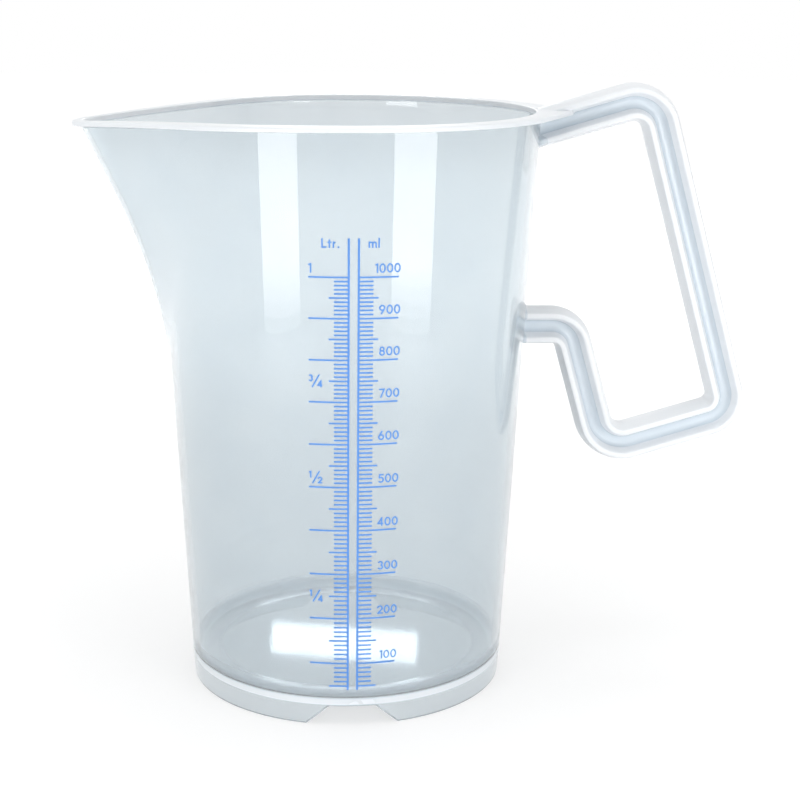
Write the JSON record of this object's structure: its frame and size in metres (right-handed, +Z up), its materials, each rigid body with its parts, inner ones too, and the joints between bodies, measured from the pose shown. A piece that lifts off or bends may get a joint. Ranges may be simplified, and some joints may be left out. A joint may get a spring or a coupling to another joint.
{
  "type": "measuring jug",
  "caption": "Tapered translucent plastic measuring jug with a flared pouring spout, an open handle and a printed volume scale on its front.",
  "frame": {"origin": "on the vessel's axis, in the plane that the foot ring stands on", "axes": "+Z up along the vessel's axis, +X towards the handle, -X towards the spout, the printed scale faces -Y"},
  "size_m": [0.2022, 0.123, 0.1814],
  "materials": {
    "polypropylene": "smooth, translucent",
    "scale_ink": "flat print"
  },
  "bodies": {
    "root": {"foot_ring": "polypropylene", "floor_plate": "polypropylene", "vessel_wall": "polypropylene", "pouring_spout": "polypropylene", "rim_lip": "polypropylene", "handle_outer_flange": "polypropylene", "handle_inner_flange": "polypropylene", "handle_web": "polypropylene", "numeral_1000_ml": "scale_ink", "numeral_100_ml": "scale_ink", "numeral_200_ml": "scale_ink", "numeral_300_ml": "scale_ink", "numeral_400_ml": "scale_ink", "numeral_500_ml": "scale_ink", "numeral_600_ml": "scale_ink", "numeral_700_ml": "scale_ink", "numeral_800_ml": "scale_ink", "numeral_900_ml": "scale_ink", "numeral_half_litre": "scale_ink", "numeral_one_litre": "scale_ink", "numeral_quarter_litre": "scale_ink", "numeral_three_quarter_litre": "scale_ink", "scale_litre_comb": "scale_ink", "scale_ml_comb": "scale_ink", "unit_label_litre": "scale_ink", "unit_label_ml": "scale_ink"}
  },
  "joints": []
}
